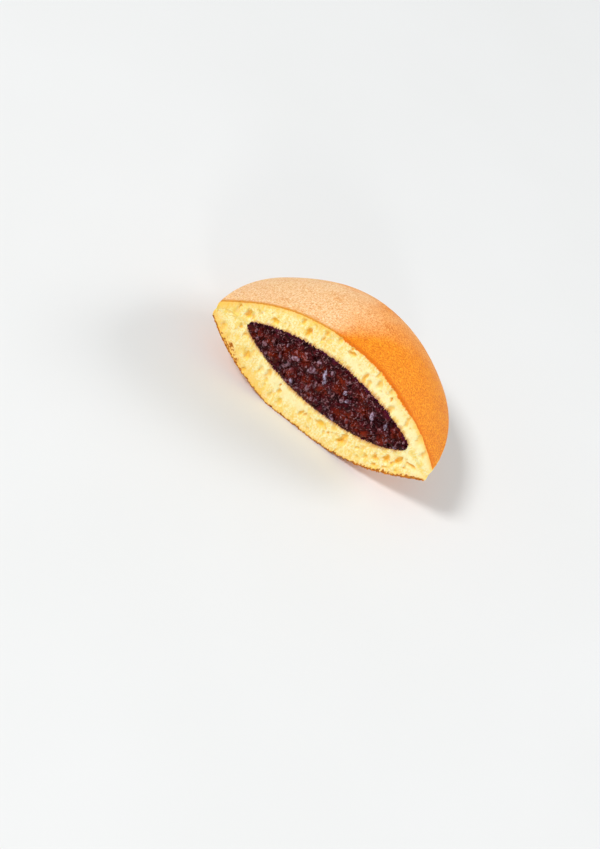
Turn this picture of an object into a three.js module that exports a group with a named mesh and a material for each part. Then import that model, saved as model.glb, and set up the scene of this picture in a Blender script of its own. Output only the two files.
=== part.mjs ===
// One half of a dorayaki, cut through with a knife. Two domed sponge pancakes meet in a thin rim round a
// lens of coarse sweet bean paste, and the cut shows all three.
// Millimetres, +Z up. The cut faces -Y, X runs along it, and the half lies on its lower pancake.
// Until the last lines the origin is on the cut, midway along it, at the height of the left rim's seam.
// A pair of values is for the left and the right end of the cut.

import * as THREE from 'three';
import { mergeVertices } from 'three/addons/utils/BufferGeometryUtils.js';

// Plan of a pancake: a slightly oval round that the knife halves a little off its middle.
const MIDDLE_X = 0.35;
const HALF_WIDTH = 48.3;
const CUT_OFFSET = 1.0;
const ROUND_DEPTH = 51.0;
const ROUND_WIDTH = HALF_WIDTH / Math.sqrt(1 - (CUT_OFFSET / ROUND_DEPTH) ** 2);

// The rim of each pancake bulges a little, and is drawn in where the two meet, from a little behind the cut.
const RIM_BULGE = 0.45;
const RIM_TUCK = 0.5;
const TUCK_FROM = 5.0;

// Heights of the two pancakes' skins and of the seam between them.
const CROWN = 26.0;
const TOP_RIM = [3.9, 3.2];
const TOP_POWER = [1.93, 2.4];
const TOP_BACK_POWER = 3.1;
const BELLY = 23.5;
const BOTTOM_RIM = [-4.5, -4.8];
const BOTTOM_POWER = [2.35, 2.4];
const BOTTOM_BACK_POWER = 4.0;
const RIM_SEAM = [-0.2, -0.8];
const CROWN_SHIFT = 0.043;

// The underside has settled flat under the half's own weight.
const FLOOR = 23.2;
const SETTLE = 1.9;
const SETTLE_REACH = 6.0;

// The lens of bean paste.
const PASTE_X = 1.05;
const PASTE_HALF_WIDTH = 35.95;
const PASTE_DEPTH = 39.0;
const PASTE_TIPS = [3.2, 3.7];
const PASTE_RISE = 11.9;
const PASTE_DROP = 12.9;
const RISE_POWERS = [[2.1, 0.75], [1.6, 0.73]];
const DROP_POWERS = [[1.8, 0.68], [2.6, 0.7]];
const SEAM_FROM = 0.76;

// Unevenness of the baked skins.
const WAVES = 7;
const WAVE_HEIGHT = 0.14;
const WAVE_LENGTHS = [16, 42];

// Burst bubbles in the crumb of the cut: x, z, width, height and depth of the ones that stand out.
const BUBBLES = [
  [-15.0, 17.7, 2.2, 4.6, 1.5], [2.0, 22.2, 3.2, 2.2, 1.3], [10.5, 17.3, 1.8, 4.6, 1.0],
  [-37.0, 7.0, 2.2, 4.2, 1.5], [-27.3, 12.2, 3.0, 2.6, 1.2], [16.2, -14.4, 2.8, 3.8, 1.6],
  [37.4, -4.5, 2.0, 4.4, 1.6], [33.4, -7.4, 2.0, 4.0, 1.5], [6.8, -14.0, 4.6, 3.0, 0.9],
  [30.2, -10.4, 2.0, 2.4, 1.3], [42.5, -2.6, 3.4, 1.8, 1.2], [-29.6, -9.6, 2.2, 4.4, 1.1],
];
const SMALL_BUBBLES = 46;
const SMALL_BUBBLE_WIDTH = [1.0, 2.2];
const SMALL_BUBBLE_STRETCH = [1.0, 2.7];
const SMALL_BUBBLE_DEPTH = [0.4, 1.0];
const SMALL_BUBBLE_SPREAD = [0.15, 0.85];
const BUBBLES_ABOVE = 0.45;
const CRUMB_SHARE = 0.94;
const BUBBLE_EDGE = 1.35;

// Whole and broken beans in the cut of the paste.
const BEANS = 60;
const BEAN_TRIES = 4000;
const BEAN_LENGTH = [4.2, 7.0];
const BEAN_SLIMNESS = [0.6, 0.85];
const BEAN_SPACING = 3.7;
const BEAN_SWELL = 1.6;
const BEAN_ROUNDNESS = 0.7;
const BEAN_SINK = [0.5, 1.3];
const PASTE_SUNK = 0.55;
const SMOOTH_BAND = 1.6;

// Clear gaps between the solids, and the fineness of the facets.
const GAP = 0.3;
const PASTE_STATIONS = 44;
const RIM_STATIONS = 7;
const CUT_STEPS = 9;
const SKIN_STEPS = 12;
const WALL_STEPS = 4;
const SEAM_STEPS = 3;
const LENS_STEPS = 8;
const PASTE_CUT_STEPS = 18;

const mix = (pair, weight) => pair[0] * (1 - weight) + pair[1] * weight;
const clamp = (value, low, high) => Math.min(Math.max(value, low), high);
const smooth = (value) => {
  const t = clamp(value, 0, 1);
  return t * t * (3 - 2 * t);
};

// A small repeatable source of random numbers between 0 and 1.
function dice(seed) {
  let state = seed >>> 0;
  return () => {
    state = (Math.imul(state, 1664525) + 1013904223) >>> 0;
    return state / 4294967296;
  };
}

// Where a place lies in the pancake's plan: how far out, from 0 in the middle to 1 at the rim's foot, the
// same from the crown, which sits off the middle, and how far it is to the right and to the back.
function planPlace(x, y) {
  const across = (x - MIDDLE_X) / ROUND_WIDTH;
  const back = (y - CUT_OFFSET) / ROUND_DEPTH;
  const out = Math.min(Math.hypot(across, back), 1);
  const shifted = across + CROWN_SHIFT * (1 - out * out);
  const length = Math.hypot(shifted, back) || 1;
  return {
    out,
    radius: Math.min(length, 1),
    right: (1 + shifted / length) / 2,
    behind: (Math.max(back, 0) / length) ** 2,
  };
}

// The rim's place and outward direction for a station along the cut: straight behind it at the middle, and at
// the rim's own end at either end.
function rimPlace(x) {
  const endTurn = Math.asin(CUT_OFFSET / ROUND_DEPTH);
  const share = Math.asin(clamp((x - MIDDLE_X) / HALF_WIDTH, -1, 1)) / (Math.PI / 2);
  const angle = Math.PI / 2 - (Math.PI / 2 + endTurn) * share;
  const outX = Math.cos(angle);
  const outY = Math.sin(angle);
  const y = Math.abs(share) === 1 ? 0 : Math.max(0, CUT_OFFSET + ROUND_DEPTH * outY);
  return { x: MIDDLE_X + ROUND_WIDTH * outX, y, outX, outY };
}

const pasteDepthAt = (x) => PASTE_DEPTH * Math.sqrt(Math.max(0, 1 - ((x - PASTE_X) / PASTE_HALF_WIDTH) ** 2));

const waveDice = dice(11);
const waves = Array.from({ length: WAVES }, () => {
  const turn = waveDice() * Math.PI * 2;
  const pitch = (2 * Math.PI) / mix(WAVE_LENGTHS, waveDice());
  return { along: Math.cos(turn) * pitch, back: Math.sin(turn) * pitch, phase: waveDice() * Math.PI * 2 };
});
const waviness = (x, y) =>
  waves.reduce((sum, w) => sum + Math.sin(w.along * x + w.back * y + w.phase), 0) * WAVE_HEIGHT;

function topSkin(x, y) {
  const place = planPlace(x, y);
  const fall = place.radius ** mix([mix(TOP_POWER, place.right), TOP_BACK_POWER], place.behind);
  return CROWN - (CROWN - mix(TOP_RIM, place.right)) * fall + waviness(x, y) * (1 - fall);
}

function bottomSkin(x, y) {
  const place = planPlace(x, y);
  const power = mix([mix(BOTTOM_POWER, place.right), BOTTOM_BACK_POWER], place.behind);
  const rise = place.radius ** power;
  const belly = BELLY + SETTLE * (1 - Math.exp(-Math.max(y, 0) / SETTLE_REACH));
  const skin = -belly + (belly + mix(BOTTOM_RIM, place.right)) * rise - waviness(-x, y) * (1 - rise);
  return Math.max(skin, -FLOOR);
}

// The paste's lens, seen in plan, and the chord between its tips.
const pasteChord = (x) => mix(PASTE_TIPS, (x - PASTE_X + PASTE_HALF_WIDTH) / (2 * PASTE_HALF_WIDTH));

function lensShare(x, y, powers) {
  const across = (x - PASTE_X) / PASTE_HALF_WIDTH;
  const back = Math.max(y, 0) / PASTE_DEPTH;
  const radius = Math.hypot(across, back);
  const right = (1 + across / (radius || 1)) / 2;
  const outer = mix([powers[0][0], powers[1][0]], right);
  const blunt = mix([powers[0][1], powers[1][1]], right);
  return Math.max(0, 1 - Math.min(radius, 1) ** outer) ** blunt;
}

// Where the pancakes meet, from the paste's edge out to the rim, and where they meet the paste.
function seam(x, y) {
  const place = planPlace(x, y);
  const share = smooth((place.out - SEAM_FROM) / (1 - SEAM_FROM));
  return pasteChord(x) * (1 - share) + mix(RIM_SEAM, place.right) * share;
}
const topLining = (x, y) => seam(x, y) + PASTE_RISE * lensShare(x, y, RISE_POWERS) + GAP / 2;
const bottomLining = (x, y) => seam(x, y) - PASTE_DROP * lensShare(x, y, DROP_POWERS) - GAP / 2;

// Relief of the crumb: how deep the cut is pitted at a place.
const bubbleDice = dice(29);
const smallBubbles = Array.from({ length: SMALL_BUBBLES }, () => {
  const x = MIDDLE_X + (2 * bubbleDice() - 1) * HALF_WIDTH * CRUMB_SHARE;
  const above = bubbleDice() < BUBBLES_ABOVE;
  const skin = above ? topSkin(x, 0) : bottomSkin(x, 0);
  const lining = above ? topLining(x, 0) : bottomLining(x, 0);
  const z = mix([skin, lining], mix(SMALL_BUBBLE_SPREAD, bubbleDice()));
  const width = mix(SMALL_BUBBLE_WIDTH, bubbleDice());
  const height = width * mix(SMALL_BUBBLE_STRETCH, bubbleDice());
  return [x, z, width, height, mix(SMALL_BUBBLE_DEPTH, bubbleDice())];
});
const bubbles = BUBBLES.concat(smallBubbles);

function crumbDepth(x, z) {
  let depth = 0;
  for (const [middleX, middleZ, width, height, deep] of bubbles) {
    const far = Math.hypot((x - middleX) / (width / 2), (z - middleZ) / (height / 2));
    depth = Math.max(depth, deep * smooth(BUBBLE_EDGE - far));
  }
  return depth;
}

// Relief of the paste: beans swell out of a smooth paste that the knife has smeared.
const beanDice = dice(53);
const beans = [];
for (let tries = 0; beans.length < BEANS && tries < BEAN_TRIES; tries += 1) {
  const x = PASTE_X + (2 * beanDice() - 1) * PASTE_HALF_WIDTH;
  const share = 2 * beanDice() - 1;
  const rise = PASTE_RISE * lensShare(x, 0, RISE_POWERS);
  const drop = PASTE_DROP * lensShare(x, 0, DROP_POWERS);
  const z = pasteChord(x) + (share > 0 ? share * (rise - SMOOTH_BAND) : share * drop);
  const clear = beans.every((bean) => Math.hypot(bean.x - x, bean.z - z) > BEAN_SPACING);
  if (clear && rise > SMOOTH_BAND && drop > SMOOTH_BAND) {
    const long = mix(BEAN_LENGTH, beanDice()) / 2;
    const slim = long * mix(BEAN_SLIMNESS, beanDice());
    const turn = beanDice() * Math.PI;
    const sink = mix(BEAN_SINK, beanDice());
    beans.push({ x, z, long, slim, turn, sink });
  }
}

function pasteSwell(x, z) {
  let swell = -PASTE_SUNK;
  for (const bean of beans) {
    const dx = x - bean.x;
    const dz = z - bean.z;
    const along = (dx * Math.cos(bean.turn) + dz * Math.sin(bean.turn)) / bean.long;
    const across = (dz * Math.cos(bean.turn) - dx * Math.sin(bean.turn)) / bean.slim;
    const round = Math.max(0, 1 - along * along - across * across) ** BEAN_ROUNDNESS;
    swell = Math.max(swell, BEAN_SWELL * round - bean.sink);
  }
  return swell;
}

// A row of values for shares from 0 to 1, with both ends.
const steps = (count, place) => Array.from({ length: count + 1 }, (_, i) => place(i / count));

// Stations along the cut, closer together towards each tip and each rim.
const cosineRun = (from, to, count) =>
  steps(count, (t) => mix([from, to], (1 - Math.cos(Math.PI * t)) / 2));
const pasteRun = cosineRun(PASTE_X - PASTE_HALF_WIDTH, PASTE_X + PASTE_HALF_WIDTH, PASTE_STATIONS);
const leftRun = cosineRun(MIDDLE_X - HALF_WIDTH, pasteRun[0], RIM_STATIONS).slice(0, -1);
const rightRun = cosineRun(pasteRun[PASTE_STATIONS], MIDDLE_X + HALF_WIDTH, RIM_STATIONS).slice(1);
const pancakeRun = [...leftRun, ...pasteRun, ...rightRun];

// A closed solid from rings of points along X, each ring going once round the section at its station.
// The ends close by themselves where a ring has no area, and else with the given triangles.
function solidFromRings(rings, flipped, capTriangles) {
  const triangles = [...capTriangles];
  for (let i = 0; i + 1 < rings.length; i += 1) {
    for (let j = 0; j < rings[i].length; j += 1) {
      const next = (j + 1) % rings[i].length;
      const a = rings[i][j];
      const b = rings[i + 1][j];
      const c = rings[i + 1][next];
      const d = rings[i][next];
      triangles.push([a, b, c], [a, c, d]);
    }
  }
  const positions = triangles.flatMap(([a, b, c]) => (flipped ? [...a, ...c, ...b] : [...a, ...b, ...c]));
  const loose = new THREE.BufferGeometry();
  loose.setAttribute('position', new THREE.Float32BufferAttribute(positions, 3));
  const joined = mergeVertices(loose, 1e-4);
  const index = joined.index.array;
  const kept = [];
  for (let i = 0; i < index.length; i += 3) {
    const [a, b, c] = [index[i], index[i + 1], index[i + 2]];
    if (a !== b && b !== c && c !== a) {
      kept.push(a, b, c);
    }
  }
  joined.setIndex(kept);
  joined.computeVertexNormals();
  return joined;
}

// Triangles between two rows that share their first and last points.
function zip(rowA, rowB, turned) {
  const triangles = [];
  let a = 0;
  let b = 0;
  while (a + 1 < rowA.length || b + 1 < rowB.length) {
    const leftA = 1 - (a + 1) / rowA.length;
    const leftB = 1 - (b + 1) / rowB.length;
    const stepA = leftA > leftB;
    const third = stepA ? rowA[a + 1] : rowB[b + 1];
    triangles.push(turned ? [rowA[a], third, rowB[b]] : [rowA[a], rowB[b], third]);
    a += stepA ? 1 : 0;
    b += stepA ? 0 : 1;
  }
  return triangles;
}

// The section of a pancake at a station: skin from the cut to the rim, the bulged rim, the lining back to
// the cut, and the cut itself.
function pancakeSection(x, skin, lining) {
  const rim = rimPlace(x);
  const lensY = pasteDepthAt(x);
  const skinRow = steps(SKIN_STEPS, (t) => {
    const out = Math.sin((t * Math.PI) / 2);
    const skinX = x + (rim.x - x) * out;
    return [skinX, rim.y * out, skin(skinX, rim.y * out)];
  });
  const rimTop = skin(rim.x, rim.y);
  const rimFoot = lining(rim.x, rim.y);
  const tuck = RIM_TUCK * smooth(rim.y / TUCK_FROM);
  const wallRow = steps(WALL_STEPS, (t) => {
    const out = t === 1 ? -tuck : RIM_BULGE * Math.sin(t * Math.PI) - tuck * t ** 3;
    return [rim.x + rim.outX * out, Math.max(0, rim.y + rim.outY * out), rimTop + (rimFoot - rimTop) * t];
  });
  const [footX, footY] = wallRow[WALL_STEPS];
  const seamRow = steps(SEAM_STEPS, (t) => {
    const seamX = footX + (x - footX) * t;
    const seamY = footY + (lensY - footY) * t;
    return [seamX, seamY, t === 0 ? wallRow[WALL_STEPS][2] : lining(seamX, seamY)];
  });
  const lensRow = steps(LENS_STEPS, (t) => {
    const y = t === 1 ? 0 : lensY * Math.cos((t * Math.PI) / 2);
    return [x, y, lining(x, y)];
  });
  const skinZ = skin(x, 0);
  const liningZ = lining(x, 0);
  const cutRow = steps(CUT_STEPS, (t) => {
    const z = liningZ + (skinZ - liningZ) * t;
    const inside = t > 0 && t < 1 && rim.y > 0;
    return [x, inside ? Math.min(crumbDepth(x, z), rim.y / 2) : 0, z];
  });
  const ring = [skinRow, wallRow, seamRow, lensRow, cutRow].flatMap((row) => row.slice(0, -1));
  return { ring, wallRow, cutRow };
}

function pancakeSolid(skin, lining, flipped) {
  const sections = pancakeRun.map((x) => pancakeSection(x, skin, lining));
  const capAt = (section, turned) => zip([...section.cutRow].reverse(), section.wallRow, turned);
  const caps = [...capAt(sections[0], false), ...capAt(sections[sections.length - 1], true)];
  return solidFromRings(sections.map((section) => section.ring), flipped, caps);
}

// The paste fills the hollow between the linings, a gap's width smaller all round.
function pasteSolid() {
  const inPlan = 1 - GAP / PASTE_HALF_WIDTH;
  const inHeight = 1 - GAP / PASTE_RISE;
  const shrink = ([x, y, z]) => {
    const chord = pasteChord(x);
    return [PASTE_X + (x - PASTE_X) * inPlan, y * inPlan, chord + (z - chord) * inHeight];
  };
  const upper = (x, y) => pasteChord(x) + PASTE_RISE * lensShare(x, y, RISE_POWERS);
  const lower = (x, y) => pasteChord(x) - PASTE_DROP * lensShare(x, y, DROP_POWERS);
  const rings = pasteRun.map((x) => {
    const lensY = pasteDepthAt(x);
    const backOf = (surface, t) => {
      const y = t === 1 ? 0 : lensY * Math.cos((t * Math.PI) / 2);
      return shrink([x, y, surface(x, y)]);
    };
    const upperRow = steps(LENS_STEPS, (t) => backOf(upper, 1 - t));
    const lowerRow = steps(LENS_STEPS, (t) => backOf(lower, t));
    const top = upperRow[0][2];
    const bottom = lowerRow[LENS_STEPS][2];
    const cutRow = steps(PASTE_CUT_STEPS, (t) => {
      const z = bottom + (top - bottom) * t;
      const edge = smooth(Math.min(z - bottom, top - z) / SMOOTH_BAND);
      return [upperRow[0][0], -pasteSwell(x, z) * edge, z];
    });
    return [upperRow, lowerRow, cutRow].flatMap((row) => row.slice(0, -1));
  });
  return solidFromRings(rings, false, []);
}

const sponge = new THREE.MeshStandardMaterial({ color: 0xeebb77, roughness: 0.85, metalness: 0 });
const palerSponge = new THREE.MeshStandardMaterial({ color: 0xf1c88a, roughness: 0.85, metalness: 0 });
const beanPaste = new THREE.MeshStandardMaterial({ color: 0x562626, roughness: 0.45, metalness: 0 });

function named(name, geometry, material) {
  const mesh = new THREE.Mesh(geometry, material);
  mesh.name = name;
  return mesh;
}

const dorayaki = new THREE.Group();
dorayaki.add(named('top_pancake', pancakeSolid(topSkin, topLining, false), sponge));
dorayaki.add(named('bottom_pancake', pancakeSolid(bottomSkin, bottomLining, true), palerSponge));
dorayaki.add(named('bean_paste', pasteSolid(), beanPaste));

// The origin goes to the middle of the bounding box's underside, which is the flat that the half lies on.
const reach = new THREE.Box3().setFromObject(dorayaki);
const middle = reach.getCenter(new THREE.Vector3());
dorayaki.position.set(-middle.x, -middle.y, -reach.min.z);

export default dorayaki;
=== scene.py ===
import math

import bpy
import numpy as np
from mathutils import Matrix, Vector


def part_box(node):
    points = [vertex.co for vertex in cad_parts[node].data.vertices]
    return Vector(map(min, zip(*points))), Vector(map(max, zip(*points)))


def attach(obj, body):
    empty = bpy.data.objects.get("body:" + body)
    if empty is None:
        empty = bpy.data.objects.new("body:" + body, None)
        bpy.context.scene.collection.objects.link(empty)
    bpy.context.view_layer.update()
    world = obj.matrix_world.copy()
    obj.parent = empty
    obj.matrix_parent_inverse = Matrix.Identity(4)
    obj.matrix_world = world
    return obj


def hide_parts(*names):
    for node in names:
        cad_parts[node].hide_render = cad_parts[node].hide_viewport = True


# One half of a dorayaki, cut through with a knife: two sponge pancakes round a lens of coarse bean paste.
# Shapes are worked out in millimetres from the middle of the cut, at the height of the seam, as in the
# solids: X along the cut, Y to the round back, Z up. A pair of values is for the left and the right end of
# the cut, or else for the least and the most of something.

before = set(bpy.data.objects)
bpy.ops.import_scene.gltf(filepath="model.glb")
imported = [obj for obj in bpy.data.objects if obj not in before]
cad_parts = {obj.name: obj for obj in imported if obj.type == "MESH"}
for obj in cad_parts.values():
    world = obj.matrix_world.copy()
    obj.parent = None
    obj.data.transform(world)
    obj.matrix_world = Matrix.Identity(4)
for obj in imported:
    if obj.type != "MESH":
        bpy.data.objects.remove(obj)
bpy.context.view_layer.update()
SCENE = bpy.context.scene
MM = 0.001
TOP = "top_pancake"
BOTTOM = "bottom_pancake"

# Plan of a pancake: a slightly oval round that the knife halves a little off its middle.
MIDDLE_X = 0.35
HALF_WIDTH = 48.3
CUT_OFFSET = 1.0
ROUND_DEPTH = 51.0
ROUND_WIDTH = HALF_WIDTH / math.sqrt(1 - (CUT_OFFSET / ROUND_DEPTH) ** 2)

# The rim of each pancake bulges a little, and is drawn in where the two meet, from a little behind the cut.
RIM_BULGE = 0.45
RIM_TUCK = 0.5
TUCK_FROM = 5.0

# Heights of the skins and of the seam, how they curve, and the flat spot that the piece rests on. The belly
# settles a little further down behind the cut.
CROWN = 26.0
TOP_RIM = (3.9, 3.2)
TOP_POWER = (1.93, 2.4)
TOP_BACK_POWER = 3.1
BELLY = 23.5
BOTTOM_RIM = (-4.5, -4.8)
BOTTOM_POWER = (2.35, 2.4)
BOTTOM_BACK_POWER = 4.0
RIM_SEAM = (-0.2, -0.8)
CROWN_SHIFT = 0.043
UNDERSIDE = 23.2
SETTLE = 1.9
SETTLE_REACH = 6.0

# The lens of bean paste: its plan, its height, how full and blunt it is above and below, where the seam
# leaves it and how its tips are rounded.
PASTE_X = 1.05
PASTE_HALF = 35.95
PASTE_DEPTH = 39.0
PASTE_TIPS = (3.2, 3.7)
PASTE_RISE = 11.9
PASTE_DROP = 12.9
RISE_POWERS = ((2.1, 1.6), (0.75, 0.73))
DROP_POWERS = ((1.8, 2.6), (0.68, 0.7))
SEAM_FROM = 0.76
TIP_SWELL = 1.0
TIP_ROUND = 0.8
TIP_REACH = 3.0

# Unevenness: long waves, as in the solids, and fine dimples of the skins, and ripples round the rim, which
# turn on the way down.
WAVE_SEED = 11
WAVES = 7
WAVE_HEIGHT = 0.14
WAVE_LENGTHS = (16, 42)
DIMPLE_SIZE = 2.6
DIMPLE_DEPTH = 0.16
RIPPLE_SIZE = (1.4, 1.7)
RIM_TURN = 2

# Burst bubbles in the crumb: x, z, width, height and depth, first of the ones that stand out, then of lesser
# ones and streaks.
BUBBLES = [
    (-15.0, 17.7, 2.2, 4.6, 1.5), (2.0, 22.2, 3.2, 2.2, 1.3), (10.5, 17.3, 1.8, 4.6, 1.0),
    (-37.0, 7.0, 2.2, 4.2, 1.5), (-27.3, 12.2, 3.0, 2.6, 1.2), (16.2, -14.4, 2.8, 3.8, 1.6),
    (37.4, -4.5, 2.0, 4.4, 1.6), (33.4, -7.4, 2.0, 4.0, 1.5), (6.8, -14.0, 4.6, 3.0, 0.9),
    (30.2, -10.4, 2.0, 2.4, 1.3), (42.5, -2.6, 3.4, 1.8, 1.2), (-29.6, -9.6, 2.2, 4.4, 1.1),
]
STREAKS = [
    (-28.6, -7.0, 1.6, 6.0, 0.4), (-30.5, -8.0, 1.6, 6.0, 0.4), (-22.0, -11.0, 1.4, 4.0, 0.4),
    (9.3, -16.5, 1.6, 2.0, 0.6), (24.0, -16.0, 2.5, 1.5, 0.5), (-15.0, -18.5, 1.4, 2.6, 0.4),
    (-36.1, 1.0, 1.3, 4.5, 0.25), (-37.3, -3.0, 1.3, 5.0, 0.25), (-38.9, -7.2, 1.3, 4.5, 0.25),
    (-42.6, 1.8, 6.0, 1.5, 0.4), (-33.4, 11.0, 1.6, 2.4, 0.4), (12.0, -11.5, 2.0, 1.6, 0.4),
    (-12.0, 21.6, 1.2, 5.0, 0.3), (-9.2, 22.2, 1.2, 5.0, 0.3), (-6.4, 22.6, 1.0, 4.5, 0.25),
    (36.1, -7.4, 2.0, 2.4, 0.8), (40.2, -5.6, 1.4, 2.4, 0.7), (27.0, -13.2, 1.8, 2.6, 0.8),
    (31.0, -13.6, 1.6, 1.8, 0.8), (35.0, -11.4, 1.5, 2.0, 0.7), (22.4, -12.2, 1.4, 2.0, 0.6),
    (38.6, -9.2, 1.3, 1.6, 0.7), (24.4, -10.2, 1.3, 2.4, 0.5), (29.0, -8.8, 1.2, 2.0, 0.5),
]

# Rules for the rest of the bubbles, the pores and the foam between them, and how their outlines are warped.
PIT_WARP = 0.6
PIT_WARP_SIZE = 1.3
PIT_WARP_SEEDS = (161, 167)
BUBBLE_SEED = 29
MORE_BUBBLES = 46
BUBBLE_WIDTH = (1.0, 2.2)
BUBBLE_STRETCH = (1.0, 2.7)
BUBBLE_DEPTH = (0.4, 1.0)
BUBBLE_SPREAD = (0.15, 0.85)
BUBBLES_ABOVE = 0.45
CRUMB_SHARE = 0.94
BUBBLE_EDGE = 1.35
PORE_SEED = 31
PORES = 1500
PORE_WIDTH = (0.3, 0.9)
PORE_SMALLNESS = 2
PORE_STRETCH = (0.9, 2.2)
PORE_DEPTH = (0.1, 0.42)
PORE_EDGE = 1.2
FOAM_SIZE = (0.55, 1.1)
FOAM_DEPTH = 0.16

# The crumb's relief fades out at the border of the cut, and is nowhere deeper than this share of the piece.
CUT_BORDER = 0.35
RECESS_REACH = 0.5
DEPTH_LIMIT = 0.5

# Beans in the cut of the paste, as in the solids, then broken pieces and skins between them. Each has a
# tone of its own, and so has what is between them.
BEAN_SEED = 53
BEANS = 60
BEAN_TRIES = 4000
BEAN_LENGTH = (4.2, 7.0)
BEAN_SLIMNESS = (0.6, 0.85)
BEAN_SPACING = 3.7
BEAN_SWELL = 1.6
BEAN_ROUNDNESS = 0.7
BEAN_SINK = (0.5, 1.3)
PASTE_SUNK = 0.55
SMOOTH_BAND = 1.6
PIECE_SEED = 67
PIECES = 520
PIECE_LENGTH = (1.3, 3.8)
PIECE_SMALLNESS = 1.5
PIECE_SLIMNESS = (0.3, 0.75)
PIECE_SWELL = (0.4, 1.0)
PIECE_SINK = (0.1, 0.75)
SKIN_SWELL = 1.5
SKIN_SINK = 0.2
TONE_SEED = 97
TONE_BETWEEN = 0.2

# Peeled skins in the cut, which carry a painted highlight: x, z, length, width, turn in degrees, how bright
# that painted highlight is, and whether only its rim shows.
SKINS = [
    (-5.6, 9.1, 3.8, 2.1, 80, 0.7, True), (-1.4, 6.2, 8.0, 1.8, 105, 1.0, False),
    (0.7, 9.1, 3.1, 2.1, 90, 0.7, False), (-6.8, 4.6, 5.2, 2.8, 75, 0.7, False),
    (-15.3, 0.3, 7.5, 2.0, 80, 0.5, False), (-20.6, 5.1, 3.7, 2.6, 60, 0.4, True),
    (-19.5, 1.6, 3.6, 1.5, 120, 0.5, False), (-26.1, 0.8, 4.2, 1.5, 70, 0.5, False),
    (-29.3, 1.1, 2.2, 1.4, 90, 0.7, False), (-23.2, 0.5, 2.2, 1.1, 50, 0.6, False),
    (-13.6, 4.6, 2.6, 2.3, 30, 0.7, False), (-13.1, -2.4, 4.5, 2.6, 80, 0.4, True),
    (-11.1, -5.9, 3.2, 1.3, 120, 0.9, False), (-4.5, -2.9, 4.7, 2.3, 95, 0.5, False),
    (1.0, -6.0, 3.4, 1.9, 90, 0.7, True), (-1.6, -6.4, 2.0, 1.6, 90, 0.7, False),
    (-18.8, 7.2, 2.2, 1.2, 95, 0.7, False), (-2.6, 0.3, 3.5, 2.2, 80, 0.4, False),
    (8.0, 6.4, 3.1, 1.9, 110, 0.9, False), (10.7, 3.6, 3.4, 1.5, 35, 1.0, False),
    (8.6, 2.4, 2.6, 1.5, 45, 0.5, False), (20.5, 5.4, 4.8, 2.4, 100, 0.8, False),
    (26.4, 5.5, 4.1, 1.5, 110, 1.0, False), (21.5, 2.4, 2.3, 1.1, 90, 0.6, False),
    (28.5, 2.9, 3.1, 1.5, 110, 0.5, False), (8.3, -1.3, 2.2, 2.0, 0, 0.6, True),
    (8.8, -7.5, 3.1, 1.5, 120, 0.7, False), (14.2, -4.5, 2.9, 2.6, 20, 0.6, True),
    (32.9, 0.0, 1.6, 1.3, 40, 0.9, False), (29.8, -0.5, 2.7, 1.6, 80, 0.6, True),
    (15.4, 9.4, 3.7, 1.5, 95, 0.5, True), (6.4, 10.7, 2.0, 1.8, 0, 0.6, True),
    (23.6, -1.3, 1.8, 1.5, 60, 0.7, False), (4.5, -5.9, 3.2, 1.4, 90, 0.6, True),
    (-6.9, -6.7, 2.6, 2.0, 40, 0.5, True), (2.5, 2.5, 2.6, 1.3, 100, 0.5, False),
    (-9.5, 0.2, 2.4, 1.4, 60, 0.5, True), (17.5, 1.0, 2.8, 1.4, 130, 0.5, True),
    (-24.0, -2.5, 2.6, 1.3, 100, 0.5, False), (-17.0, -4.2, 2.6, 1.3, 70, 0.5, True),
    (-31.5, 3.6, 2.0, 1.1, 110, 0.5, False), (34.8, 5.1, 1.6, 0.9, 100, 0.6, False),
]

# Places of the redder beans, x and z, and how far the red reaches.
RED_BEANS = [
    (-10.9, 6.4), (-13.6, 7.3), (-18.2, 4.3), (-21.9, -0.8), (-3.4, 7.5), (-12.8, -2.9), (-6.4, -0.8),
    (4.0, 9.6), (13.4, 9.4), (17.1, 4.8), (13.6, -1.9), (17.4, -4.0), (31.3, 5.6), (28.1, -0.3),
    (9.9, -4.3), (5.4, 5.6), (0.5, 0.0), (-25.5, 3.6), (-30.5, 2.2), (22.0, -4.2), (-3.5, -5.5),
]
RED_SIZE = 2.3

# How much the outlines of the beans are warped, the finer grain, and the smear that the knife leaves along
# the upper and lower edge. The paste grows a little past its lens, into the pancakes.
WARP = 0.8
WARP_SIZE = 1.7
WARP_SEEDS = (141, 151)
GRAIN_SEED = 131
GRAIN_SIZE = 1.5
GRAIN_HEIGHT = 0.6
SMEAR_DEPTH = 0.12
SMEAR_BANDS = (2.6, 1.3)
SMEAR_STRAY = 0.7
SMEAR_LEAN = 0.1
PASTE_GROWTH = 0.4

# Where the pieces get painted shade in their creases and painted highlights on their rims: by how far a
# piece stands above the next, and for a skin's painted highlight by how high the place is on it, from 0 at
# its edge to 1.
CREASE_SHADE_WIDTH = 0.3
RIM_HIGHLIGHT_MIDDLE = 0.3
RIM_HIGHLIGHT_WIDTH = 0.2
HOLLOW_FROM = 0.85
HOLLOW_FADE = 0.3
SKIN_EDGE = 0.1
SKIN_EDGE_FADE = 0.35

# How ragged the knife left the edges of the cut: how far they stray up and down and back, for each pancake.
# The left end and the steep parts are cleaner, and so is where the sections close at both ends. Each noise
# adds its own number to the pancake's seed, and two have their own row.
PANCAKE_SEEDS = {TOP: 71, BOTTOM: 83}
EDGE_FRAY = {TOP: 0.2, BOTTOM: 1.8}
EDGE_RECESS = {TOP: 0.14, BOTTOM: 0.6}
FRAY_GIVE = 0.25
FRAY_SIZE = 0.55
FRAY_REACH = 0.7
RECESS_ROW = 9
CLEAN_SHARE = 0.35
CLEAN_TO = -38
CLEAN_FADE = 14
STEEP = 1.1
CLOSING = 6
LINING_CLOSING = 3
LINING_FRAY = 1.3
LINING_GIVE = 0.3
LINING_FRAY_SIZE = 0.4
LINING_ROW = 5

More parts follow.
